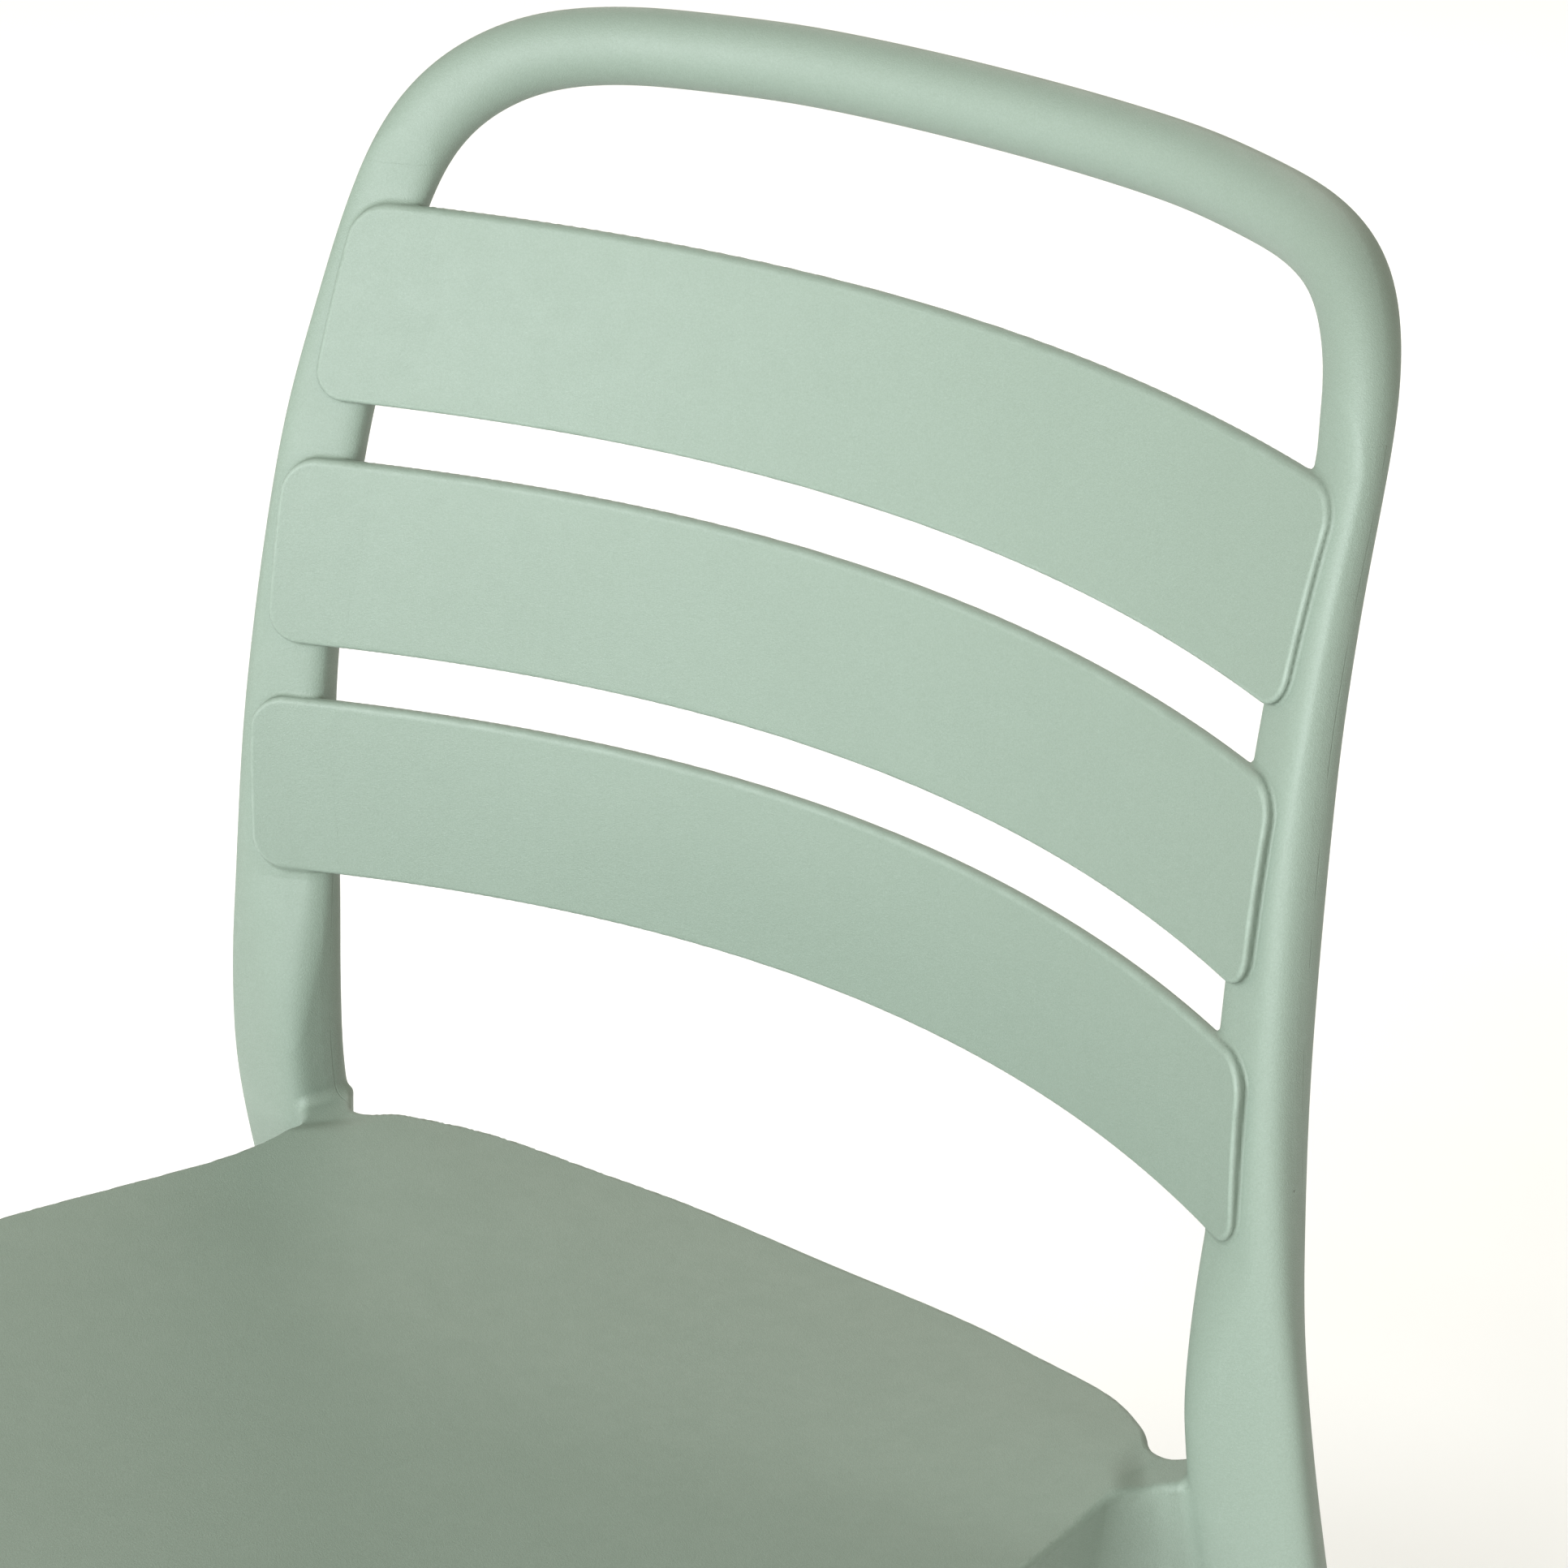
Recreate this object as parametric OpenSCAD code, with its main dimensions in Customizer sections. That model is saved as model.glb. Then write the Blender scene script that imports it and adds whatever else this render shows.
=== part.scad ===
// Stacking chair: a one-piece moulded chair with a slatted back, and four push-in glides.
// Millimetres. +Z is up, the sitter faces -Y, and X = 0 is the plane of symmetry.
// The moulding is drawn as its named sections, which meet face to face.

/* [Back] */
// Height of the top rail's centre line
rail_h = 810; // [806:1:814]
// Radius of the top rail's tube
rail_r = 13.2; // [12:0.2:14]
// Height of the lowest slat's lower edge
slat_base_h = 525; // [523:1:527]
// Vertical height of one slat
slat_h = 64.5; // [62:0.5:66]
// Vertical distance from one slat's lower edge to the next one's
slat_pitch = 84.5; // [84:0.5:86]
// Thickness of a slat
slat_t = 5; // [4:0.5:6]
// Radius of a slat's corners
slat_corner_r = 12; // [8:1:16]

/* [Seat] */
// Height of the seat's centre line at its rear edge
seat_h = 419; // [417:1:421]
// How far the seat's side edges rise above its centre line
dish = 15; // [12:1:16]
// Thickness of the seat panel
seat_t = 5; // [4:0.5:6]
// Depth of the rail under each side of the seat
rail_drop = 36; // [30:1:40]
// Width of that rail
rail_w = 22; // [18:1:24]
// Thickness of the cross rails and ribs
rib_t = 4; // [3:0.5:5]
// Depth of a rib below the seat panel
rib_drop = 12; // [10:1:14]
// Distance between the lengthwise ribs
rib_gap = 68; // [60:1:72]

/* [Feet] */
// Radius of a glide's flange, which stands on the floor
glide_r = 14; // [13:0.5:15]
// Thickness of a glide's flange
glide_t = 8; // [6:0.5:10]
// Radius of a glide's stem, which fills the leg's socket
stem_r = 6; // [5:0.5:7]
// Length of a glide's stem
stem_l = 22; // [16:1:26]

/* [Hidden] */

PLASTIC = [0.55, 0.65, 0.56];
GLIDE = [0.42, 0.50, 0.43];
SIDES = 20;            // points round a tube's section
SQUARE = 3;            // a tube's section in the slats' zone: 2 is an ellipse, and more is squarer
BACK_REACH = 272;      // how far behind the origin the top rail's centre line reaches
LEG_END = 425;         // distance up the rear path where the leg ends and the post begins
POST_END = 775;        // distance where the post ends and the top rail begins
POST_STEPS = 25;       // number of steps between a post's rings
ROUND_FROM = 763;      // distance where the post's section starts to turn into the rail's round one
ROUND_OVER = 74;       // and how much farther it is round

// Rear leg, post and half the top rail, as one line from the foot: distance along it, x, y, z,
// half width, depth to the front, depth to the back, the degrees that the section is turned, and how
// fast its outer side leans in toward the back.
BACK = [
    [0, 213.5, 224, glide_t, 13, 13, 13, 0, 0],
    [124, 214, 203.5, 130, 16, 14.5, 14.5, -4, 0.1],
    [266, 215, 179, 270, 19, 15.8, 15.8, -9, 0.2],
    [373, 216.2, 158.7, 375, 23.3, 16.9, 16.9, -12, 0.3],
    [437, 216.5, 145.5, 437, 22.8, 16.1, 16.1, -12, 0.3],
    [476, 214.8, 141.4, 476, 21.7, 14.9, 14.9, -12, 0.3],
    [510, 212.5, 141.3, 510, 19.9, 14.4, 14.4, -6, 0.22],
    [588, 211, 144.7, 588, 15.7, 11.1, 13.8, 14, 0.08],
    [676, 206.8, 160, 674, 14.8, 10, 12, 26, 0],
    [729, 203.5, 176.3, 724, 13.9, 9.3, 10.7, 26, 0],
    [763, 201.3, 189.5, 756, 13.4, 9.5, 9.9, 24, 0],
    [788, 196.7, 201, rail_h - 32, 13.3, 10.3, 10.3, 20, 0],
    [811, 187, 213.5, rail_h - 16.5, 13.3, 11.3, 11.3, 12, 0],
    [837, 170, 229, rail_h - 5.5, 13.2, 12.6, 12.6, 0, 0],
    [865, 146, 244, rail_h - 1.2, rail_r, rail_r, rail_r, 0, 0],
    [897, 117, 256, rail_h - 0.5, rail_r, rail_r, rail_r, 0, 0],
    [940, 75, 267, rail_h, rail_r, rail_r, rail_r, 0, 0],
    [1015, 0, BACK_REACH, rail_h, rail_r, rail_r, rail_r, 0, 0],
    [1090, -75, 267, rail_h, rail_r, rail_r, rail_r, 0, 0]];
MIDDLE = 1015;         // distance up the rear path to the middle of the top rail

// Front leg, from the foot, in the same columns. The feet are level with the back's rearmost point.
foot_y = glide_r - BACK_REACH - rail_r;
FRONT = [
    [0, 224, foot_y, glide_t, 13, 13, 13, 0, 0],
    [125, 221.5, foot_y + 17, 130, 14.5, 14.5, 14.5, 0, 0],
    [270, 214, foot_y + 36, 273, 16.5, 17, 17, 0, 0],
    [358, 204, foot_y + 51, 360, 18, 19, 19, 0, 0],
    [404, 196, foot_y + 60, 405, 18, 21, 21, 0, 0],
    [430, 191, foot_y + 65, 431, 18, 21, 21, 0, 0]];
FRONT_TOP = 430;       // distance up the front leg to its top

// Front face of the slats: height, half width, y at the ends, and how far the middle is set back.
FACE = [
    [515, 215.5, 124.8, 60],
    [558, 214.3, 125.4, 58],
    [590, 213, 128.2, 57],
    [643, 210.3, 137, 54],
    [676, 208.3, 145.6, 51],
    [726, 205.5, 163.2, 47],
    [765, 203.2, 181, 44]];

// Half the seat's outline, from the middle of its rear edge: distance along it, x, y.
SEAT = [[0, 0, 190], [60, 60, 187], [106, 105, 177], [142, 140, 167], [165, 160, 155], [187, 174, 138],
    [208, 181, 118], [232, 187, 95], [286, 196, 42], [335, 204, -6], [399, 211, -70], [459, 215, -130],
    [520, 213, -190], [567, 197, -232], [620, 150, -250], [700, 75, -254.5], [775, 0, -255]];
SEAT_END = 775;
SEAT_MIDDLE = [0, -30];
RAIL_FROM = 212;       // where along the outline the side rail starts, behind
RAIL_TO = 530;         // and ends, in front
RAIL_IN = 2;           // how far a side rail is inside the outline
RAIL_DRAFT = 1.5;      // how much a side rail narrows on each side, down to its eased foot
RAIL_EASE = 4;         // height of that ease
RAIL_LEAN = 5;         // width of that ease, with the draft
RAIL_DEEPER = 10;      // how much deeper a side rail is at its ends
FRONT_RAIL_Y = -206;   // where the front cross rail runs
FRONT_RAIL_X = 190;    // half its length
REAR_RAIL_Y = 90;      // where the rear cross rail runs
REAR_RAIL_X = 178;     // half its length
WEB_UP = 4;            // how much shallower the cross rails are than the side rails
DISH_X = 190;          // distance from the middle at which the seat's sides have risen by the dish
REAR_DISH = 6.5;       // how much more the seat is dished along its rear edge
DISH_FROM = 60;        // y where that starts
DISH_OVER = 90;        // and how much farther back it is complete
SEAT_SIDES = 72;       // points round the seat's outline
SEAT_EASE = 0.01;      // share of the seat's size that its rounded edge takes
GLIDE_EASE = 1.5;      // chamfer round a glide's flange
EASE = 1;              // ease on a slat's edges
CLEAR = 6;             // how far a cutting shape runs past the shape that it cuts
// Height of the seat's centre line above seat_h: y, rise.
RISE = [[-255, 3], [-225, 11], [-190, 13.5], [-120, 12.5], [-6, 7.7], [95, 2.7], [190, 0]];

// A smooth curve through the rows of a table, read at a value of its first column.
function slope(t, i) = let (a = t[max(i - 1, 0)], b = t[min(i + 1, len(t) - 1)]) (b - a) / (b[0] - a[0]);
function between(t, i, v) = let (h = t[i + 1][0] - t[i][0], s = (v - t[i][0]) / h)
    t[i] * (1 + 2 * s) * pow(1 - s, 2) + t[i + 1] * s * s * (3 - 2 * s)
    + slope(t, i) * h * s * pow(1 - s, 2) + slope(t, i + 1) * h * s * s * (s - 1);
function read(t, v, i = 0) = i >= len(t) - 2 || v < t[i + 1][0] ? between(t, i, v) : read(t, v, i + 1);

function ease(v) = let (u = max(0, min(1, v))) u * u * (3 - 2 * u);
function unit(v) = v / norm(v);
function power(v, e) = sign(v) * pow(abs(v), e);
function place(row) = [row[1], row[2], row[3]];
function flipped(ring) = [for (p = ring) [-p[0], p[1], p[2]]];
function levelled(ring, z) = [for (p = ring) [p[0], p[1], z]];

// One ring of a tube: its centre, direction of travel and direction of depth, then its half width,
// its depths to the front and to the back, how square it is, and how fast its outer side leans in.
function ring(c, travel, depth, a, front, back, square, lean = 0) =
    let (t = unit(travel), d = unit(depth - t * (depth * t)), w = cross(d, t))
    [for (k = [0:SIDES - 1])
        let (q = 360 * k / SIDES, deep = (q < 180 ? back : front) * power(sin(q), 2 / square),
            half = cos(q) > 0 ? a - lean * (deep + front) : a)
        c + w * half * power(cos(q), 2 / square) + d * deep];
function tube_ring(path, s) =
    let (p = read(path, s), travel = place(read(path, s + 1) - read(path, s - 1)),
        round = max(0, min(1, (s - ROUND_FROM) / ROUND_OVER)))
    ring(place(p), travel, [sin(p[7]), cos(p[7]), 0], p[4], p[5], p[6],
        SQUARE - round * (SQUARE - 2), p[8]);

// A closed solid through a list of rings that have the same number of points.
module loft(rings) {
    n = len(rings[0]);
    m = len(rings);
    polyhedron(points = [for (r = rings) each r], faces = [
        [for (k = [0:n - 1]) k],
        [for (k = [n - 1:-1:0]) (m - 1) * n + k],
        for (j = [0:m - 2], k = [0:n - 1]) let (a = j * n + k, b = j * n + (k + 1) % n)
            each [[a, a + n, b], [b, a + n, b + n]]]);
}

module on_side(side) {
    if (side > 0) children();
    else mirror([1, 0, 0]) children();
}

module tube(path, from, to, steps)
    loft([for (i = [0:steps]) tube_ring(path, from + (to - from) * i / steps)]);

// --- Back ---------------------------------------------------------------

function setback(x, z) = let (p = read(FACE, z)) p[2] + p[3] * (1 - pow(x / p[1], 2));
function face_normal(x, z) =
    unit([setback(x - 1, z) - setback(x + 1, z), 2, setback(x, z - 1) - setback(x, z + 1)]);
function slat_point(x, z, deep) = [x, setback(x, z), z] + face_normal(x, z) * deep;

// A slat's section at x, with eased edges. The slat is shorter near its round-cornered ends.
// The pocket that it leaves in a post has the same back and sides, and is open to the front.
function slat_ring(x, half, base, is_pocket) =
    let (from_end = half - abs(x), r = slat_corner_r, e = EASE,
        cut = from_end >= r ? 0 : r - sqrt(max(0, r * r - pow(r - from_end, 2))),
        lo = base + cut, hi = base + slat_h - cut, face = [lo + e, (lo + hi) / 2, hi - e],
        front = is_pocket ? [slat_point(x, lo, -CLEAR), slat_point(x, hi, -CLEAR)]
            : [slat_point(x, lo, e), for (z = face) slat_point(x, z, 0), slat_point(x, hi, e)])
    concat(front, [slat_point(x, hi, slat_t - e)], [for (i = [2:-1:0]) slat_point(x, face[i], slat_t)],
        [slat_point(x, lo, slat_t - e)]);
module slat(level, is_pocket = false) {
    base = slat_base_h + level * slat_pitch;
    half = read(FACE, base + slat_h / 2)[1];
    inner = half - slat_corner_r;
    ends = [for (q = [0:25:75]) half - slat_corner_r * (1 - cos(q))];
    span = [for (i = [10:-1:-10]) inner * i / 10];
    stations = concat(ends, span, [for (i = [len(ends) - 1:-1:0]) -ends[i]]);
    loft([for (x = stations) slat_ring(x, half, base, is_pocket)]);
}

module top_rail() color(PLASTIC) {
    right = [for (i = [0:25]) tube_ring(BACK, POST_END + (MIDDLE - POST_END) * i / 25)];
    left = [for (i = [24:-1:0]) flipped(right[i])];
    loft(concat(right, left));
}
module post(side) color(PLASTIC) on_side(side) difference() {
    tube(BACK, LEG_END, POST_END, POST_STEPS);
    for (level = [0:2]) slat(level, true);
}
module left_post() post(-1);
module right_post() post(1);
module top_slat() color(PLASTIC) slat(2);
module middle_slat() color(PLASTIC) slat(1);
module bottom_slat() color(PLASTIC) slat(0);

// --- Seat ---------------------------------------------------------------

function dish_at(y) = dish + REAR_DISH * ease((y - DISH_FROM) / DISH_OVER);
function seat_top(x, y) = seat_h + read(RISE, y)[1] + dish_at(y) * pow(x / DISH_X, 2);
function seat_under(x, y) = seat_top(x, y) - seat_t;
function on_seat(x, y, deep) = [x, y, seat_top(x, y) - deep];

// The seat's outline shrunk towards its middle, on the seat's surface at a depth below its top.
function outline(s) = let (p = read(SEAT, min(s, 2 * SEAT_END - s))) [s > SEAT_END ? -p[1] : p[1], p[2]];
function seat_ring(shrink, deep) = [for (i = [0:SEAT_SIDES - 1])
    let (p = SEAT_MIDDLE + (outline(2 * SEAT_END * i / SEAT_SIDES) - SEAT_MIDDLE) * shrink)
        on_seat(p[0], p[1], deep)];
module seat_panel() color(PLASTIC) {
    inner = [0.02, 0.2, 0.4, 0.6, 0.75, 0.88, 0.98];
    edge = [for (q = [-60:30:60]) seat_ring(1 - SEAT_EASE * (1 - cos(q)), seat_t * (1 + sin(q)) / 2)];
    top = [for (r = inner) seat_ring(r, 0)];
    under = [for (i = [len(inner) - 1:-1:0]) seat_ring(inner[i], seat_t)];
    loft(concat(top, edge, under));
}

// Rail under the seat's side, with its top on the seat panel's underside.
function rail_foot(s) = rail_drop + RAIL_DEEPER * pow(2 * (s - RAIL_FROM) / (RAIL_TO - RAIL_FROM) - 1, 2);
function rail_section(foot, up) = [[RAIL_IN, -up], [RAIL_IN + RAIL_DRAFT, foot - RAIL_EASE],
    [RAIL_IN + RAIL_LEAN, foot], [rail_w - RAIL_LEAN, foot],
    [rail_w - RAIL_DRAFT, foot - RAIL_EASE], [rail_w, -up]];
function rail_ring(s, up) =
    let (p = outline(s), q = outline(s + 1) - outline(s - 1), in = [q[1], -q[0]] / norm(q))
    [for (c = rail_section(rail_foot(s), up)) let (e = p + in * c[0])
        [e[0], e[1], seat_under(e[0], e[1]) - c[1]]];
module rail_tube(up = 0)
    loft([for (i = [0:18]) rail_ring(RAIL_TO + (RAIL_FROM - RAIL_TO) * i / 18, up)]);

// Bridge from the seat's rear corner to the post: distance along it, x, y, z, half width, half height.
NECK = [[0, 176, 109, 413, 18, 21], [24, 190, 125, 416, 17, 22], [42, 204, 139, 418, 17, 22]];
NECK_STEP = 7;
POST_STEP = (POST_END - LEG_END) / POST_STEPS;
module neck_tube() loft([for (i = [0:6]) let (p = read(NECK, NECK_STEP * i))
    ring(place(p), [1, 1, 0], [0, 0, 1], p[4], p[5], p[5], SQUARE)]);
module side_rail(side) color(PLASTIC) on_side(side) difference() {
    rail_tube();
    neck_tube();
    front_leg_tube(CLEAR);
}
module left_side_rail() side_rail(-1);
module right_side_rail() side_rail(1);
module neck(side) color(PLASTIC) on_side(side) difference() {
    neck_tube();
    tube(BACK, LEG_END - 10 * POST_STEP, LEG_END + 10 * POST_STEP, 20);
    seat_panel();
}
module left_neck() neck(-1);
module right_neck() neck(1);

// An upright web under the seat panel, between two points in plan.
module web(a, b, drop) {
    n = [a[1] - b[1], b[0] - a[0]] / norm(b - a) * rib_t / 2;
    loft([for (i = [0:14]) let (p = a + (b - a) * i / 14, u = p + n, v = p - n) [
        [u[0], u[1], seat_under(u[0], u[1])], [v[0], v[1], seat_under(v[0], v[1])],
        [v[0], v[1], seat_under(v[0], v[1]) - drop], [u[0], u[1], seat_under(u[0], u[1]) - drop]]]);
}
module both_sides() {
    children();
    mirror([1, 0, 0]) children();
}
module front_cross_rail() color(PLASTIC) difference() {
    web([-FRONT_RAIL_X, FRONT_RAIL_Y], [FRONT_RAIL_X, FRONT_RAIL_Y], rail_drop - WEB_UP);
    both_sides() front_leg_tube(CLEAR);
}
module rear_cross_rail() color(PLASTIC) difference() {
    web([-REAR_RAIL_X, REAR_RAIL_Y], [REAR_RAIL_X, REAR_RAIL_Y], rail_drop - WEB_UP);
    both_sides() rail_tube(CLEAR);
}
module under_seat_ribs() color(PLASTIC) for (i = [-2:2])
    web([i * rib_gap, FRONT_RAIL_Y + rib_t / 2], [i * rib_gap, REAR_RAIL_Y - rib_t / 2], rib_drop);

// --- Legs and glides ----------------------------------------------------

module front_leg_tube(up = 0) {
    foot = levelled(tube_ring(FRONT, 0), glide_t);
    rings = [for (i = [1:20]) tube_ring(FRONT, FRONT_TOP * i / 21)];
    top = [for (p = tube_ring(FRONT, FRONT_TOP)) [p[0], p[1], seat_under(p[0], p[1]) + up]];
    loft(concat([foot], rings, [top]));
}
module rear_leg_tube() {
    foot = levelled(tube_ring(BACK, 0), glide_t);
    loft(concat([foot], [for (i = [1:18]) tube_ring(BACK, LEG_END * i / 18)]));
}
module socket(path)
    translate([path[0][1], path[0][2], glide_t - 1]) cylinder(r = stem_r, h = stem_l + 1, $fn = 48);
module front_leg(side) color(PLASTIC) on_side(side) difference() {
    front_leg_tube();
    socket(FRONT);
}
module rear_leg(side) color(PLASTIC) on_side(side) difference() {
    rear_leg_tube();
    socket(BACK);
}
module left_front_leg() front_leg(-1);
module right_front_leg() front_leg(1);
module left_rear_leg() rear_leg(-1);
module right_rear_leg() rear_leg(1);

// A glide's flange has an eased edge, and its stem fills the socket.
module glide(path, side) color(GLIDE) translate([side * path[0][1], path[0][2], 0]) rotate_extrude($fn = 64)
    polygon([[0, 0], [glide_r - GLIDE_EASE, 0], [glide_r, GLIDE_EASE], [glide_r, glide_t],
        [stem_r, glide_t], [stem_r, glide_t + stem_l], [0, glide_t + stem_l]]);
module left_front_glide() glide(FRONT, -1);
module right_front_glide() glide(FRONT, 1);
module left_rear_glide() glide(BACK, -1);
module right_rear_glide() glide(BACK, 1);

top_rail();
left_post();
right_post();
top_slat();
middle_slat();
bottom_slat();
seat_panel();
left_neck();
right_neck();
left_side_rail();
right_side_rail();
front_cross_rail();
rear_cross_rail();
under_seat_ribs();
left_front_leg();
right_front_leg();
left_rear_leg();
right_rear_leg();
left_front_glide();
right_front_glide();
left_rear_glide();
right_rear_glide();
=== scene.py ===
"""Stacking chair: the moulding is drawn as one smooth solid and meshed section by section.

Every shape is a function that gives a point's distance to a surface, in millimetres and negative inside.
The sections are cut from the same solid by planes, so that they meet without a step.
"""

import math

import bmesh
import bpy
import numpy as np
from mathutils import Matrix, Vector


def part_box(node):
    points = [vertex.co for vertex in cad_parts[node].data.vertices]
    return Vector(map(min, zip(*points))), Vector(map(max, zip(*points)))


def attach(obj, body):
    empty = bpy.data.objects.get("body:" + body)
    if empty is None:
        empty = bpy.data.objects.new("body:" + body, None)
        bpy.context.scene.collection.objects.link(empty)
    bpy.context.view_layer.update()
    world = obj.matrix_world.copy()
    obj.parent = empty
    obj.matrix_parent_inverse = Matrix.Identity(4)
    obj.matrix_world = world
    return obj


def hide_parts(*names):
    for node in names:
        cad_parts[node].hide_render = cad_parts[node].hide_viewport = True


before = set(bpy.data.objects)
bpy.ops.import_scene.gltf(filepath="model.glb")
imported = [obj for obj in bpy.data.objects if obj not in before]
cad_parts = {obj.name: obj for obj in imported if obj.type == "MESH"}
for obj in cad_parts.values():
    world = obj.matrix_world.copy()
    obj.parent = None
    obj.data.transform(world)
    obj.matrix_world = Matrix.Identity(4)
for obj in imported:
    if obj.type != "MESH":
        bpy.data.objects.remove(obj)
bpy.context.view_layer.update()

import openvdb
from mathutils import Vector

MM = 0.001
FLIP = np.array([-1.0, 1.0, 1.0])
DIAGONAL = 1 / math.sqrt(2)


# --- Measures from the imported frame, in millimetres -----------------------------------------------

def box_mm(node):
    low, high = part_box(node)
    return np.array(low) / MM, np.array(high) / MM


RAIL_HIGH = box_mm("top_rail")[1]
SLAT_LOW, SLAT_HIGH = box_mm("bottom_slat")
UPPER_LOW, UPPER_HIGH = box_mm("top_slat")
SEAT_LOW, SEAT_HIGH = box_mm("seat_panel")
REAR_GLIDE = box_mm("right_rear_glide")
FRONT_GLIDE = box_mm("right_front_glide")
RIBS = box_mm("under_seat_ribs")
FRONT_WEB = box_mm("front_cross_rail")
REAR_WEB = box_mm("rear_cross_rail")

RAIL_R = 13.2
RAIL_H = RAIL_HIGH[2] - RAIL_R
BACK_REACH = RAIL_HIGH[1] - RAIL_R
SLAT_H = SLAT_HIGH[2] - SLAT_LOW[2]
SLAT_PITCH = (UPPER_LOW[2] - SLAT_LOW[2]) / 2
SLAT_T = 5.0
SLAT_CORNER_R = 12.0
SLAT_EDGE_R = 2.0
GLIDE_R = (FRONT_GLIDE[1][0] - FRONT_GLIDE[0][0]) / 2
GLIDE_T = 8.0
FOOT_Y = (FRONT_GLIDE[0][1] + FRONT_GLIDE[1][1]) / 2
FOOT_X = (FRONT_GLIDE[0][0] + FRONT_GLIDE[1][0]) / 2
REAR_X = (REAR_GLIDE[0][0] + REAR_GLIDE[1][0]) / 2
REAR_Y = (REAR_GLIDE[0][1] + REAR_GLIDE[1][1]) / 2
SEAT_H = 419.0
SEAT_REAR = SEAT_HIGH[1]
SEAT_FRONT = SEAT_LOW[1]
SEAT_T = 5.0

# Rear leg, post and half the top rail, as one line from the foot: distance along it, x, y, z, half width,
# depth to the front, depth to the back, degrees turned, squareness inside in front, outside in front and
# behind, and how fast the outer side leans in toward the back.
BACK = [
    [0, REAR_X, REAR_Y, GLIDE_T, 13, 13, 13, 0, 2.3, 2.3, 2.3, 0],
    [124, 214, 203.5, 130, 16, 14.5, 14.5, -4, 2.6, 2.6, 2.4, 0.1],
    [266, 215, 179, 270, 19, 15.8, 15.8, -9, 3.2, 3.1, 2.8, 0.2],
    [373, 216.8, 156.9, 375, 23.3, 14.5, 14.5, -12, 3.6, 3.4, 3.0, 0.3],
    [437, 216.9, 144.2, 437, 22.8, 14.5, 14.5, -12, 3.8, 3.4, 3.0, 0.3],
    [476, 214.8, 141.4, 476, 21.7, 14.9, 14.9, -12, 3.8, 3.4, 3.0, 0.3],
    [510, 212.5, 141.3, 510, 19.9, 14.4, 14.4, -6, 3.6, 3.2, 2.9, 0.22],
    [588, 211, 144.7, 588, 15.7, 11.1, 13.8, 14, 3.2, 2.8, 2.6, 0.08],
    [676, 206.8, 160, 674, 14.8, 10, 12, 26, 3.0, 2.6, 2.5, 0],
    [729, 203.5, 176.3, 724, 13.9, 9.3, 10.7, 26, 2.8, 2.5, 2.4, 0],
    [763, 201.3, 189.5, 756, 13.4, 9.5, 9.9, 24, 2.6, 2.4, 2.3, 0],
    [788, 196.7, 201, RAIL_H - 32, 13.3, 10.3, 10.3, 20, 2.4, 2.3, 2.2, 0],
    [811, 187, 213.5, RAIL_H - 16.5, 13.3, 11.3, 11.3, 12, 2.2, 2.2, 2.1, 0],
    [837, 170, 229, RAIL_H - 5.5, 13.2, 12.6, 12.6, 0, 2, 2, 2, 0],
    [865, 146, 244, RAIL_H - 1.2, RAIL_R, RAIL_R, RAIL_R, 0, 2, 2, 2, 0],
    [897, 117, 256, RAIL_H - 0.5, RAIL_R, RAIL_R, RAIL_R, 0, 2, 2, 2, 0],
    [940, 75, 267, RAIL_H, RAIL_R, RAIL_R, RAIL_R, 0, 2, 2, 2, 0],
    [1015, 0, BACK_REACH, RAIL_H, RAIL_R, RAIL_R, RAIL_R, 0, 2, 2, 2, 0],
    [1090, -75, 267, RAIL_H, RAIL_R, RAIL_R, RAIL_R, 0, 2, 2, 2, 0]]
LEG_END = 425
POST_END = 785

# Front leg, from the foot, in the same columns.
FRONT = [
    [0, FOOT_X, FOOT_Y, GLIDE_T, 13, 13, 13, 0, 2.3, 2.3, 2.3, 0],
    [125, FOOT_X - 2.5, FOOT_Y + 17, 130, 14.5, 14.5, 14.5, 0, 2.4, 2.5, 2.5, 0],
    [270, FOOT_X - 10, FOOT_Y + 36, 273, 16.5, 17, 17, 0, 2.6, 2.8, 2.9, 0],
    [358, FOOT_X - 20, FOOT_Y + 51, 360, 18, 19, 19, 0, 2.7, 2.9, 3.0, 0],
    [404, FOOT_X - 28, FOOT_Y + 60, 405, 18, 21, 21, 0, 2.7, 2.9, 3.0, 0],
    [430, FOOT_X - 33, FOOT_Y + 65, 431, 18, 21, 21, 0, 2.7, 2.9, 3.0, 0],
    [456, FOOT_X - 38, FOOT_Y + 70, 457, 18, 21, 21, 0, 2.7, 2.9, 3.0, 0]]

# Front face of the slats: height, half width, y at the ends, and how far the middle is set back.
FACE = [
    [515, 215.5, 124.8, 60],
    [558, 214.3, 125.4, 58],
    [590, 213, 128.2, 57],
    [643, 210.3, 137, 54],
    [676, 208.3, 145.6, 51],
    [726, 205.5, 163.2, 47],
    [765, 203.2, 181, 44]]

# Half the seat's outline, from the middle of its rear edge: distance along it, x, y.
OUTLINE = [
    [-60, -60, SEAT_REAR - 3], [0, 0, SEAT_REAR], [60, 60, SEAT_REAR - 3], [106, 105, 177], [142, 140, 165.9],
    [165, 161.9, 152], [187, 175.5, 139.1], [208, 183.8, 118], [232, 187, 95], [286, 196, 42], [335, 204, -6],
    [399, 211, -70], [459, 215, -130], [520, 213, -190], [567, 197, -232], [620, 150, -250],
    [700, 75, SEAT_FRONT + 0.5], [775, 0, SEAT_FRONT], [850, -75, SEAT_FRONT + 0.5]]

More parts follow.
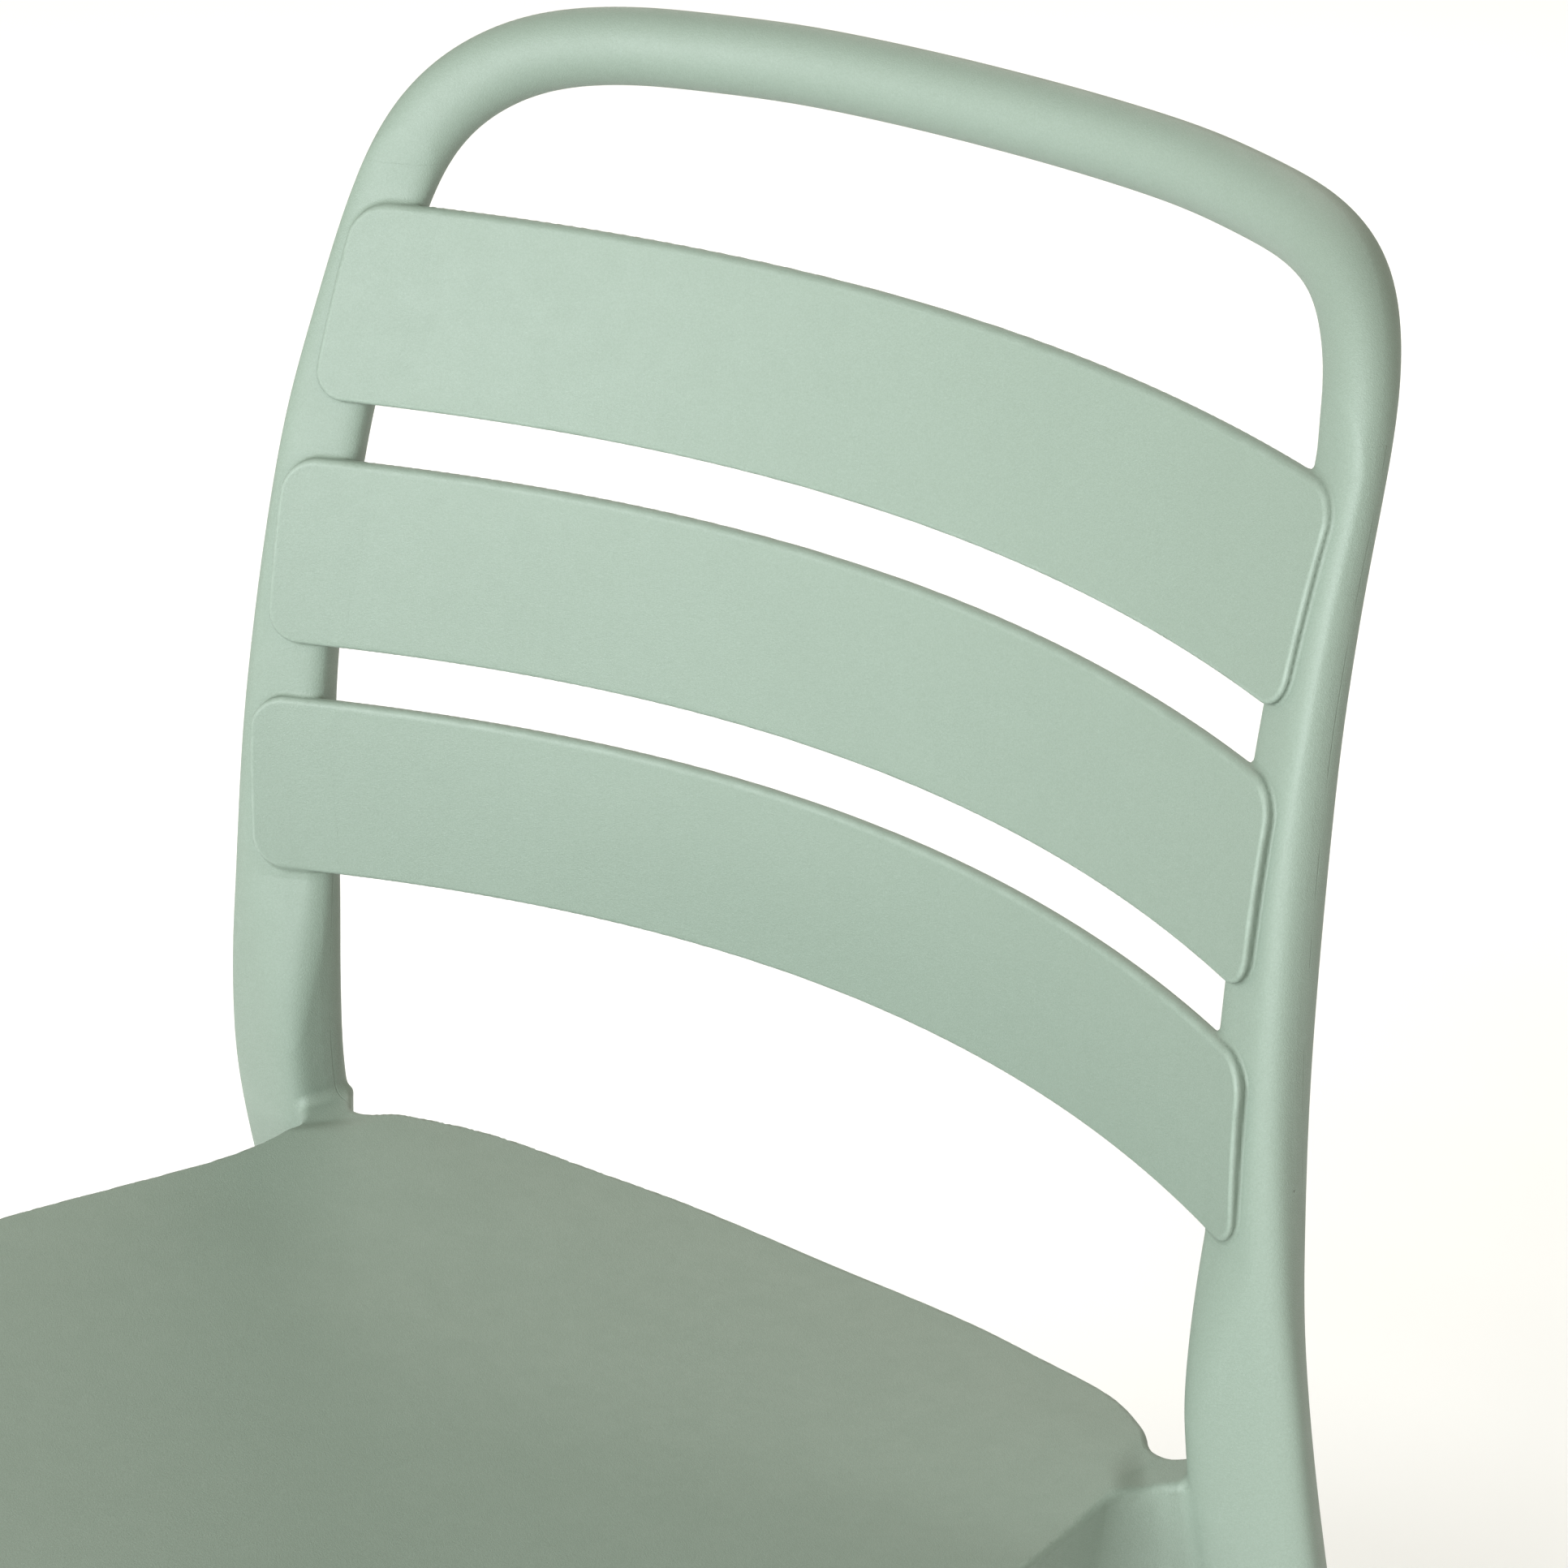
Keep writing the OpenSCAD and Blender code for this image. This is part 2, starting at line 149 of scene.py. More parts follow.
# The rails under the seat's sides: where along the outline each starts and ends, its width and depth, how
# much deeper its ends are, how far its sides draw in toward the foot, and the round along the foot.
RAIL_FROM = 212
RAIL_TO = 530
RAIL_W = 22.0
RAIL_DROP = 36.0
RAIL_FLARE = 10
RAIL_LEAN = 5
RAIL_FOOT_R = 3.5

# Height of the seat's centre line above SEAT_H: y, rise.
RISE = [[-255, 3], [-225, 11], [-190, 13.5], [-120, 12.5], [-6, 7.7], [95, 2.7], [190, 0]]

# The dish: how far the seat's sides rise at DISH_X, how much more at the rear, and where that starts and
# how far it takes. Past FLAT_X the rear corners level out toward the necks.
DISH = 15.0
REAR_DISH = 6.5
DISH_X = 190
DISH_FROM = 60
DISH_OVER = 90
FLAT_X = 180
FLAT_SHARE = 0.8
FLAT_OVER = 40

# The necks: bars from the seat's rear corners into the posts, at 45 degrees in plan. The line of their
# middle is x - y = NECK_LINE, and their length is centred at NECK_MIDDLE along the diagonal. NECK_SINK is
# how much lower their tops are, and NECK_SUNK is how deep they run into the posts.
NECK_LINE = 55.2
NECK_HALF = 8.8
NECK_MIDDLE = 218
NECK_REACH = 27
NECK_SINK = 3.75
NECK_SUNK = 9.0
NECK_FILLET = 4.0
NECK_FRONT_R = 9.0
NECK_BACK_R = 8.0
NECK_CORNER_R = 10.5

# Fillets, and the slats' pads: how proud of the posts they stand, and how fast the posts' flattened front
# fades out above and below the slats.
LEG_FILLET = 6.0
PAD_FILLET = 1.8
PAD_PROUD = 1.8
PAD_OVER = 4
FACE_FADE = 0.2
FRONT_ROUND = 5.0
SEAM_BACK = 4.0

# Where the sections meet: the slats' ends in x, the lowest height of that cut, x + y at the necks' cut, and
# the height of the front legs' tops.
SLAT_END = 186
SPLIT = 500
NECK_CUT = 320
LEG_TOP = 376

# Size of the mesh's faces on each kind of section.
COARSER = 1.0
RAIL_VOXEL = 1.5 * COARSER
POST_VOXEL = 1.0 * COARSER
SLAT_VOXEL = 1.25 * COARSER
SEAT_VOXEL = 1.8 * COARSER
LEG_VOXEL = 1.6 * COARSER
WEB_VOXEL = 1.2 * COARSER


# --- Curves ---------------------------------------------------------------------------------------

def read(table, v):
    """The rows of a table at the values v of its first column, on a smooth curve."""
    t = np.asarray(table, float)
    rows = np.arange(len(t))
    a, b = t[np.maximum(rows - 1, 0)], t[np.minimum(rows + 1, len(t) - 1)]
    slope = (b - a) / (b[:, :1] - a[:, :1])
    i = np.clip(np.searchsorted(t[:, 0], v, side="right") - 1, 0, len(t) - 2)
    h = (t[i + 1, 0] - t[i, 0])[:, None]
    s = (np.asarray(v) - t[i, 0])[:, None] / h
    return (t[i] * (1 + 2 * s) * (1 - s) ** 2 + t[i + 1] * s * s * (3 - 2 * s)
            + slope[i] * h * s * (1 - s) ** 2 + slope[i + 1] * h * s * s * (s - 1))


def softened(rows, width):
    """Rows of samples, averaged over a bell of that many samples, with the ends kept."""
    reach = int(3 * width)
    bell = np.exp(-0.5 * (np.arange(-reach, reach + 1) / width) ** 2)
    bell /= bell.sum()
    head = 2 * rows[:1] - rows[reach:0:-1]
    tail = 2 * rows[-1:] - rows[-2:-reach - 2:-1]
    long = np.concatenate([head, rows, tail])
    return np.stack([np.convolve(c, bell, "valid") for c in long.T], axis=1)


def unit(v):
    return v / np.linalg.norm(v, axis=-1, keepdims=True)


def nearest(q, points):
    """Index of the nearest of some points, for each row of q."""
    p = points.astype(np.float32)
    lengths = (p * p).sum(1)
    out = np.empty(len(q), np.int64)
    for a in range(0, len(q), 65536):
        part = q[a:a + 65536].astype(np.float32)
        out[a:a + 65536] = np.argmin(lengths - 2 * part @ p.T, axis=1)
    return out


# --- Distances ------------------------------------------------------------------------------------

def joined(a, b, r):
    """Two solids as one, with a fillet of radius r where they meet."""
    return np.maximum(r, np.minimum(a, b)) - np.hypot(np.maximum(r - a, 0), np.maximum(r - b, 0))


def rounded(a, b, r):
    """What two solids share, with a round of radius r along the edge."""
    return np.minimum(-r, np.maximum(a, b)) + np.hypot(np.maximum(r + a, 0), np.maximum(r + b, 0))


def ease(v):
    v = np.clip(v, 0, 1)
    return v * v * (3 - 2 * v)


class Tube:
    """A tube along a table's line. Its section is a squared ellipse of its own in each quarter."""

    STEP = 2.0
    COARSE = 4

    def __init__(self, table, start, end, soften=5.0, draft=0.0):
        self.start = start
        s = np.arange(start, end + self.STEP, self.STEP)
        rows = softened(read(table, s), soften)
        self.c = rows[:, 1:4]
        t = unit(np.gradient(self.c, axis=0))
        turn = np.radians(rows[:, 7])
        d = np.stack([np.sin(turn), np.cos(turn), 0 * turn], axis=1)
        d = unit(d - t * (d * t).sum(1, keepdims=True))
        self.rows = np.concatenate([self.c, t, d, np.cross(d, t), rows[:, 4:7], rows[:, 8:12]], axis=1)
        self.pace = np.linalg.norm(np.gradient(self.c, axis=0), axis=1)
        self.draft = draft

    def local(self, q):
        """Position along the tube in samples, and the offsets to its side and to its back."""
        k = nearest(q, self.c[::self.COARSE]).astype(float) * self.COARSE
        last = len(self.c) - 1.001
        for _ in range(3):
            k = np.clip(k, 0, last)
            i = k.astype(int)
            f = (k - i)[:, None]
            c = self.c[i] * (1 - f) + self.c[i + 1] * f
            t = self.rows[i, 3:6] * (1 - f) + self.rows[i + 1, 3:6] * f
            k = k + ((q - c) * t).sum(1) / self.pace[i]
        k = np.clip(k, 0, last)
        i = k.astype(int)
        f = (k - i)[:, None]
        row = self.rows[i] * (1 - f) + self.rows[i + 1] * f
        o = q - row[:, :3]
        return k, row, (o * row[:, 9:12]).sum(1), (o * row[:, 6:9]).sum(1)

    def __call__(self, q):
        _, row, side, back = self.local(q)
        behind = back > 0
        lean = np.where(side > 0, row[:, 18], 0) * np.clip(back + row[:, 13], 0, row[:, 13] + row[:, 14])
        half = row[:, 12] - self.draft * np.maximum(back, 0) - lean
        depth = np.where(behind, row[:, 14], row[:, 13])
        square = np.where(behind, row[:, 17], np.where(side > 0, row[:, 16], row[:, 15]))
        a, b = np.abs(side) / half + 1e-9, np.abs(back) / depth + 1e-9
        r = (a ** square + b ** square) ** (1 / square)
        g = r ** (1 - square) * np.hypot(a ** (square - 1) / half, b ** (square - 1) / depth)
        return (r - 1) / np.maximum(g, 1e-6)


class Slat:
    """A bent plate with rounded edges, whose round-cornered ends lie on the posts as pads."""

    Z = np.arange(500, 781, 0.5)
    ROWS = softened(read(FACE, np.clip(Z, 505, 775)), 16)
    SLOPES = np.gradient(ROWS, 0.5, axis=0)

    def __init__(self, level):
        self.low = SLAT_LOW[2] + level * SLAT_PITCH
        self.middle = self.low + SLAT_H / 2
        self.half = float(read(FACE, [self.middle])[0, 1])

    @classmethod
    def face(cls, q):
        """How far q is behind the slats' front face, with the face's slope upward and its set-back."""
        x, y, z = np.abs(q[:, 0]), q[:, 1], q[:, 2]
        half, end, bow = (np.interp(z, cls.Z, cls.ROWS[:, i]) for i in (1, 2, 3))
        d_end, d_bow = (np.interp(z, cls.Z, cls.SLOPES[:, i]) for i in (2, 3))
        share = 1 - (x / half) ** 2
        across = 2 * bow * x / half ** 2
        up = d_end + d_bow * share
        return (y - end - bow * share) / np.sqrt(1 + across ** 2 + up ** 2), up, bow

    def __call__(self, q):
        x, z = np.abs(q[:, 0]), q[:, 2]
        behind, up, bow = self.face(q)
        out = (x - self.half) * np.sqrt(1 + (2 * bow / self.half) ** 2) + SLAT_CORNER_R
        over = (np.abs(z - self.middle) - SLAT_H / 2) * np.sqrt(1 + up ** 2) + SLAT_CORNER_R
        plan = (np.hypot(np.maximum(out, 0), np.maximum(over, 0)) + np.minimum(np.maximum(out, over), 0)
                - SLAT_CORNER_R)
        return rounded(plan, np.abs(behind - SLAT_T / 2) - SLAT_T / 2, SLAT_EDGE_R)


def neck_front(q):
    """Runs from 0 to 1 over 16 mm, from a neck's rear side to its front side."""
    return ease((np.abs(q[:, 0]) - q[:, 1] - NECK_LINE + 6) / 16)


class Seat:
    """A dished panel with a rounded edge, and a deep rail under each of its sides."""

    STEP = 2.0
    Y = np.arange(-270, 211, 1.0)
    HEIGHT = softened(read(RISE, Y), 8)[:, 1]
    S = np.arange(-40, 815, STEP)
    LINE = softened(read(OUTLINE, S), 3)[:, 1:]
    ALONG = unit(np.gradient(LINE, axis=0))
    EDGE_R = 2.45

    def dish(self, y):
        """How far the seat's sides rise at a place along its depth."""
        return DISH + REAR_DISH * ease((y - DISH_FROM) / DISH_OVER)

    def top(self, x, y):
        """Height of the seat's top surface, which levels out onto the necks and sinks a little there."""
        side = x - FLAT_SHARE * np.maximum(x - FLAT_X, 0) * ease((y - DISH_FROM) / FLAT_OVER)
        sink = NECK_SINK * ease((x - 165) / 20) * ease((x + y - 292) / 20)
        return SEAT_H + np.interp(y, self.Y, self.HEIGHT) + self.dish(y) * (side / DISH_X) ** 2 - sink

    def height(self, q):
        """How far q is above the seat's top surface, square to it."""
        x, y = np.abs(q[:, 0]), q[:, 1]
        slope = np.interp(y, self.Y, np.gradient(self.HEIGHT))
        across = 2 * self.dish(y) * x / DISH_X ** 2
        return (q[:, 2] - self.top(x, y)) / np.sqrt(1 + across ** 2 + slope ** 2)

    def on_line(self, k):
        """Positions along the outline in samples, kept on it, with the points and directions there."""
        k = np.clip(k, 0, len(self.LINE) - 1.001)
        i = k.astype(int)
        f = (k - i)[:, None]
        points, along = (rows[i] * (1 - f) + rows[i + 1] * f for rows in (self.LINE, self.ALONG))
        return k, points, along

    def out(self, q):
        """How far q is outside the outline in plan, and where along the outline that is."""
        p = np.stack([np.abs(q[:, 0]), q[:, 1]], axis=1)
        k = nearest(p, self.LINE[::2]).astype(float) * 2
        for _ in range(2):
            k, c, t = self.on_line(k)
            k = k + ((p - c) * t).sum(1) / self.STEP
        k, c, t = self.on_line(k)
        o = p - c
        d = o[:, 1] * t[:, 0] - o[:, 0] * t[:, 1]
        return np.sign(d) * np.linalg.norm(o, axis=1), self.S[0] + k * self.STEP

    def rail(self, h, out, s, bridge):
        """The rail below the panel: flush with its edge outside, and ended in the neck and the front leg."""
        ends = 2 * (s - RAIL_FROM) / (RAIL_TO - RAIL_FROM) - 1
        drop = SEAT_T + RAIL_DROP + RAIL_FLARE * np.clip(ends, -1, 1) ** 2
        lean = RAIL_LEAN * np.clip(-(h + self.EDGE_R) / drop, 0, 1)
        wide = np.abs(out + RAIL_W / 2) - RAIL_W / 2 + lean
        bar = np.maximum(rounded(wide, -h - drop, RAIL_FOOT_R), h + self.EDGE_R)
        limit = np.maximum(RAIL_FROM - 14 - s, s - RAIL_TO - 8)
        return np.maximum(bar, np.minimum(limit, bridge - 7))

    def bridge(self, q):
        """Distance in plan to the bar that runs from the seat's rear corner into the post."""
        x, y = np.abs(q[:, 0]), q[:, 1]
        aside, along = (x - y - NECK_LINE) / math.sqrt(2), (x + y) / math.sqrt(2)
        return np.maximum(np.abs(aside) - NECK_HALF, np.abs(along - NECK_MIDDLE) - NECK_REACH)

    def __call__(self, q, post=None):
        """The seat with its rails and, where the post's distance is given, its necks."""
        h = self.height(q)
        out, s = self.out(q)
        bridge = self.bridge(q)
        if post is not None:
            out = joined(out, bridge, NECK_CORNER_R)
            neck_fillet = NECK_BACK_R + (NECK_FRONT_R - NECK_BACK_R) * neck_front(q)
            out = joined(out, post + NECK_SUNK, neck_fillet)
        panel = rounded(out, np.abs(h + SEAT_T / 2) - SEAT_T / 2, self.EDGE_R)
        fillet = 0.01 + 4 * ease((-out - RAIL_W / 2) / 6) * ease((-h - 1) / 3)
        return joined(panel, self.rail(h, out, s, bridge), fillet)


back_tube = Tube(BACK, 0, 1060, draft=0.10)
front_tube = Tube(FRONT, 0, 456)
seat = Seat()
slats = [Slat(level) for level in range(3)]


def folded(q):
    """Points on the chair's right side: the chair is its own mirror image."""
    p = q.copy()
    p[:, 0] = np.abs(p[:, 0])
    return p


def all_slats(q):
    return np.minimum(np.minimum(slats[0](q), slats[1](q)), slats[2](q))


def post_body(q):
    """The rear leg and post, whose front is flattened a little behind the slats' front face."""
    behind, _, _ = Slat.face(q)
    below = np.maximum(SLAT_LOW[2] - PAD_OVER - q[:, 2], 0)
    beyond = below + np.maximum(q[:, 2] - UPPER_HIGH[2] - PAD_OVER, 0)
    return rounded(back_tube(q), PAD_PROUD - FACE_FADE * beyond - behind, FRONT_ROUND)


def back_shape(q):
    """Posts with the slats, whose pads stand a little proud."""
    q = folded(q)
    return joined(post_body(q), all_slats(q), PAD_FILLET)


def seat_shape(q):
    """Seat, its side rails, its necks, the front legs' tops and the posts' feet."""
    q = folded(q)
    post = post_body(q)
    legs = rounded(front_tube(q), seat.height(q) + 7, 3.0)
    body = joined(seat(q, post), legs, LEG_FILLET)
    return joined(body, post, NECK_FILLET)


def post_shape(q):
    """The post, the slats' pads on it, and the neck that runs into it."""
    out = back_shape(q)
    low = q[:, 2] < SPLIT
    if low.any():
        out[low] = seat_shape(q[low])
    return out


def rail_shape(q):
    return post_body(folded(q))


def leg_shape(q):
    """Front leg below the seat's rail, cut level over its glide."""
    q = folded(q)
    return rounded(joined(front_tube(q), seat(q), LEG_FILLET), GLIDE_T - q[:, 2], 1.2)


def rear_leg_shape(q):
    """Rear leg below the post, cut level over its glide."""
    q = folded(q)
    out = post_body(q)
    high = q[:, 2] > 360
    if high.any():
        out[high] = seat_shape(q[high])
    return rounded(out, GLIDE_T - q[:, 2], 1.2)


# --- Meshing --------------------------------------------------------------------------------------

def gradient(shape, p, e=0.05):
    """A shape's slope at each point, as a vector."""
    steps = np.eye(3) * e
    return np.stack([(shape(p + s) - shape(p - s)) / (2 * e) for s in steps], axis=1)


BLOCK = 8


def whole(values):
    return tuple(int(v) for v in values)


def lattice(axes):
    """Every point of a grid with the given coordinates along its axes."""
    return np.stack(np.meshgrid(*axes, indexing="ij"), -1).reshape(-1, 3)


def surface(shape, low, high, voxel):
    """Points and faces of a shape's surface inside a box, in millimetres.

    Only the blocks of voxels that the surface may run through are sampled. The blocks inside are filled.
    """
    size = BLOCK
    reach = voxel * size
    far = 3 * voxel
    first = np.floor(np.array(low) / reach).astype(int)
    last = np.ceil(np.array(high) / reach).astype(int)
    blocks = lattice([np.arange(a, b) for a, b in zip(first, last)])
    middle = shape((blocks * size + size / 2) * voxel)
    band = blocks[np.abs(middle) < reach * 1.3]
    inside = blocks[middle <= -reach * 1.3]
    grid = openvdb.FloatGrid(far)
    offsets = lattice([np.arange(size)] * 3)
    for a in range(0, len(band), 256):
        some = band[a:a + 256]
        points = (some[:, None, :] * size + offsets[None]).reshape(-1, 3) * voxel
        values = np.clip(shape(points), -far, far).astype(np.float32)
        for block, v in zip(some, values.reshape(len(some), size, size, size)):
            grid.copyFromArray(v, ijk=whole(block * size))
    for block in inside:
        grid.fill(whole(block * size), whole(block * size + size - 1), -far, False)
    points, triangles, quads = grid.convertToPolygons(isovalue=0.0, adaptivity=0.0)
    return points.astype(float) * voxel, [whole(f) for f in triangles], [whole(f) for f in quads]


def settled(shape, p, voxel):
    """Points moved onto a shape's surface."""
    for _ in range(2):
        g = gradient(shape, p)
        d = shape(p)
        step = g * (d / np.maximum((g * g).sum(1), 0.05))[:, None]
        size = np.linalg.norm(step, axis=1, keepdims=True)
        p = p - step * np.minimum(1, 0.7 * voxel / np.maximum(size, 1e-9))
    return p


def cut(bm, point, normal, above=-1.0, below=1000.0):
    """Removes what lies on a plane's far side, between two heights, and closes the cut."""
    faces = [f for f in bm.faces if all(above * MM < v.co.z < below * MM for v in f.verts)]
    edges = dict.fromkeys(e for f in faces for e in f.edges)
    verts = dict.fromkeys(v for f in faces for v in f.verts)
    made = bmesh.ops.bisect_plane(
        bm, geom=[*verts, *edges, *faces], dist=1e-7,
        plane_co=Vector(point) * MM, plane_no=Vector(normal), clear_outer=True)
    edges = [e for e in made["geom_cut"] if isinstance(e, bmesh.types.BMEdge) and e.is_boundary]
    bmesh.ops.holes_fill(bm, edges=edges, sides=0)


def mesh_section(name, shape, low, high, voxel, planes=()):
    """One closed section of a shape as a mesh, and the shape's own normals at its points."""
    points, triangles, quads = surface(shape, low, high, voxel)
    points = settled(shape, points, voxel)
    mesh = bpy.data.meshes.new(name)
    mesh.from_pydata((points * MM).tolist(), [], triangles + quads)
    bm = bmesh.new()
    bm.from_mesh(mesh)
    for plane in planes:
        cut(bm, *plane)
    bmesh.ops.delete(bm, geom=[v for v in bm.verts if not v.link_faces], context="VERTS")
    bm.to_mesh(mesh)
    bm.free()
    p = points_of(mesh)
    normals = unit(gradient(shape, p) + 1e-9)
    store(mesh, "edge", sharpness(shape, p))
    store(mesh, "seam", seam_distance(p))
    dress_normals(mesh, normals)
    return mesh, normals


def points_of(mesh):
    co = np.empty(len(mesh.vertices) * 3, np.float32)
    mesh.vertices.foreach_get("co", co)
    return co.reshape(-1, 3).astype(float) / MM


def store(mesh, name, values):
    attribute = mesh.attributes.new(name, "FLOAT", "POINT")
    attribute.data.foreach_set("value", values.astype(np.float32))


def sharpness(shape, p, e=0.9):
    """How sharply the surface bends at each point: positive on an edge, negative in a corner."""
    total = sum(shape(p + s) + shape(p - s) for s in np.eye(3) * e) - 6 * shape(p)
    return np.clip(total / e ** 2, -1, 1)


def seam_distance(p):
    """Distance to the mould's parting line along the sides of the posts and legs, and 9 away from them."""
    q = folded(p)
    _, row, side, back = back_tube.local(q)
    near = (np.abs(side) < row[:, 12] + 8) & (np.abs(back) < 24) & (q[:, 2] < 770) & (q[:, 2] > 20)
    return np.where(near, back - SEAM_BACK, 9.0)


def dress_normals(mesh, normals):
    mesh.shade_smooth()
    mesh.normals_split_custom_set_from_vertices(normals.tolist())


def mirrored(mesh, normals, name):
    """A mesh's mirror image in the chair's middle plane."""
    other = mesh.copy()
    other.name = name
    other.vertices.foreach_set("co", (points_of(mesh) * FLIP * MM).astype(np.float32).ravel())
    other.flip_normals()
    dress_normals(other, normals * FLIP)
    return other


def place(name, mesh, material, nodes):
    """Makes a piece of a mesh, which rides on the chair and stands for CAD nodes."""
    piece = bpy.data.objects.new(name, mesh)
    bpy.context.scene.collection.objects.link(piece)
    mesh.materials.clear()
    mesh.materials.append(material)
    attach(piece, "root")
    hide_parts(*nodes)
    return piece


def tube_plane(s):
    """Point and direction of travel at a distance up the rear path."""
    i = int(round((s - back_tube.start) / Tube.STEP))
    return back_tube.c[i], back_tube.rows[i, 3:6]


# --- Materials ------------------------------------------------------------------------------------

class Nodes:
    """A material's node tree, with short calls for adding to it."""

    def __init__(self, name):
        self.material = bpy.data.materials.new(name)
        self.material.use_nodes = True
        self.tree = self.material.node_tree
        self.tree.nodes.clear()
        out = self.add("ShaderNodeOutputMaterial")
        self.shader = self.add("ShaderNodeBsdfPrincipled")
        self.tree.links.new(self.shader.outputs[0], out.inputs["Surface"])
        self.coordinates = self.add("ShaderNodeTexCoord").outputs["Object"]

    def add(self, kind, **settings):
        node = self.tree.nodes.new(kind)
        for key, value in settings.items():
            setattr(node, key, value)
        return node

    def set(self, socket, value):
        if isinstance(value, bpy.types.NodeSocket):
            self.tree.links.new(value, socket)
        else:
            socket.default_value = value

    def noise(self, scale, detail=2.0, roughness=0.5, where=None):
        node = self.add("ShaderNodeTexNoise")
        self.set(node.inputs["Vector"], where or self.coordinates)
        self.set(node.inputs["Scale"], scale)
        self.set(node.inputs["Detail"], detail)
        self.set(node.inputs["Roughness"], roughness)
        return node.outputs["Fac"]

    def cells(self, scale):
        """Distance to the nearest of some scattered points."""
        node = self.add("ShaderNodeTexVoronoi")
        self.set(node.inputs["Vector"], self.coordinates)
        self.set(node.inputs["Scale"], scale)
        return node.outputs["Distance"]

    def attribute(self, name):
        return self.add("ShaderNodeAttribute", attribute_name=name).outputs["Fac"]

    def math(self, operation, a, b=0.0):
        node = self.add("ShaderNodeMath", operation=operation)
        self.set(node.inputs[0], a)
        self.set(node.inputs[1], b)
        return node.outputs[0]

    def range(self, value, low, high, to_low=0.0, to_high=1.0, smooth=True):
        node = self.add("ShaderNodeMapRange", interpolation_type="SMOOTHSTEP" if smooth else "LINEAR")
        for i, v in enumerate((value, low, high, to_low, to_high)):
            self.set(node.inputs[i], v)
        return node.outputs[0]

    def mix(self, factor, a, b, blend="MIX"):
        node = self.add("ShaderNodeMix", data_type="RGBA", blend_type=blend)
        self.set(node.inputs[0], factor)
        self.set(node.inputs[6], a)
        self.set(node.inputs[7], b)
        return node.outputs[2]

    def bump(self, height, distance, strength, normal=None):
        node = self.add("ShaderNodeBump")
        self.set(node.inputs["Height"], height)
        self.set(node.inputs["Distance"], distance)
        self.set(node.inputs["Strength"], strength)
        if normal:
            self.set(node.inputs["Normal"], normal)
        return node.outputs["Normal"]


SAGE = (0.189, 0.240, 0.195, 1)
SAGE_PALE = (0.26, 0.32, 0.27, 1)
SAGE_DEEP = (0.140, 0.181, 0.140, 1)
SPECK_DARK = (0.05, 0.05, 0.04, 1)
SPECK_PALE = (0.55, 0.60, 0.55, 1)


def moulding_material():
    """Sage-green polypropylene with a fine spark-eroded grain."""
    n = Nodes("moulded_polypropylene")
    cloud = n.noise(14, 3)
    flow = n.noise(90, 4, 0.6)
    grain = n.noise(1500, 2, 0.6)
    fine = n.noise(3000, 1)
    edge = n.attribute("edge")
    seam = n.math("ABSOLUTE", n.attribute("seam"))

    colour = n.mix(n.range(cloud, 0.3, 0.7, 0.0, 0.05), SAGE, SAGE_PALE)
    colour = n.mix(n.range(flow, 0.35, 0.7, 0.0, 0.05), colour, SAGE_DEEP)
    colour = n.mix(n.range(grain, 0.35, 0.65, 0.0, 0.26), colour, SAGE_DEEP)
    colour = n.mix(n.range(fine, 0.5, 0.75, 0.0, 0.34), colour, SAGE_PALE)
    rubbed = n.math("MULTIPLY", n.range(edge, 0.12, 0.6), n.range(flow, 0.35, 0.65, 0.10, 0.45))
    colour = n.mix(rubbed, colour, SAGE_PALE)
    # painted shade: concave corners and creases are darkened toward the deep sage
    painted_corner_shade = n.range(edge, -0.05, -0.35, 0.0, 0.22)
    colour = n.mix(painted_corner_shade, colour, SAGE_DEEP)

    line = n.range(seam, 0.10, 0.35, 1.0, 0.0)
    broken = n.range(n.noise(60, 2), 0.38, 0.55)
    line = n.math("MULTIPLY", line, broken)
    colour = n.mix(n.math("MULTIPLY", line, 0.5), colour, SAGE_DEEP)
    near_seam = n.range(seam, 0.4, 0.9, 1.0, 0.0)
    nub = n.math("MULTIPLY", n.range(n.cells(26), 0.02, 0.05, 1.0, 0.0), near_seam)
    colour = n.mix(nub, colour, SPECK_PALE)
    speck = n.range(n.cells(21), 0.006, 0.012, 1.0, 0.0)
    colour = n.mix(n.math("MULTIPLY", speck, 0.7), colour, SPECK_DARK)
    n.set(n.shader.inputs["Base Color"], colour)

    rough = n.range(flow, 0.3, 0.7, 0.53, 0.57)
    rough = n.math("SUBTRACT", rough, n.math("MULTIPLY", rubbed, 0.12))
    n.set(n.shader.inputs["Roughness"], rough)
    n.shader.inputs["Specular IOR Level"].default_value = 0.45
    n.shader.inputs["IOR"].default_value = 1.49

    normal = n.bump(grain, 0.0004, 0.30)
    normal = n.bump(fine, 0.0002, 0.30, normal)
    normal = n.bump(n.math("MULTIPLY", line, -1.0), 0.0002, 0.6, normal)
    normal = n.bump(nub, 0.0003, 0.8, normal)
    n.set(n.shader.inputs["Normal"], normal)
    return n.material


RUBBER = (0.105, 0.135, 0.110, 1)
RUBBER_WORN = (0.20, 0.235, 0.205, 1)
RUBBER_DARK = (0.06, 0.075, 0.06, 1)


